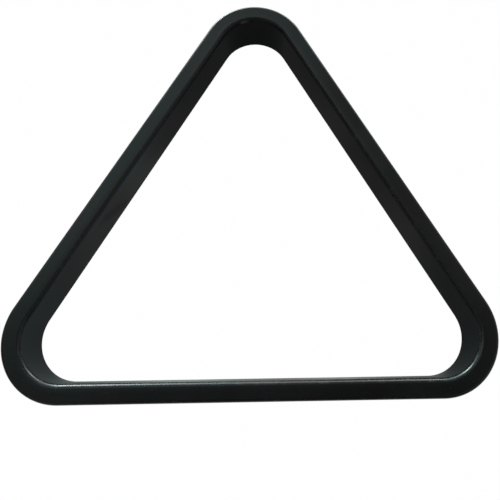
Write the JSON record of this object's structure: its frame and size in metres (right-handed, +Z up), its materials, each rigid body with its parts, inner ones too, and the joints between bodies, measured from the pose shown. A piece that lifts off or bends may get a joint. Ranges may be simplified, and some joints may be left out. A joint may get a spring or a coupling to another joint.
{
  "type": "billiard ball rack",
  "caption": "Triangular rack in black moulded plastic with rounded corners, for setting out 57 mm billiard balls.",
  "frame": {"origin": "centre of the footprint's bounding box, on the plane the rack lies on", "axes": "+Z up out of the table, +X along the base bar, +Y from the base bar to the apex"},
  "size_m": [0.3172, 0.2854, 0.037],
  "materials": {
    "shell_plastic": "moulded semi-gloss black",
    "ring_plastic": "moulded satin black",
    "screw_steel": "black zinc plate"
  },
  "bodies": {
    "root": {"rack_shell": "shell_plastic", "base_ring": "ring_plastic", "screw_01": "screw_steel", "screw_02": "screw_steel", "screw_03": "screw_steel", "screw_04": "screw_steel", "screw_05": "screw_steel", "screw_06": "screw_steel", "screw_07": "screw_steel", "screw_08": "screw_steel", "screw_09": "screw_steel"}
  },
  "joints": []
}
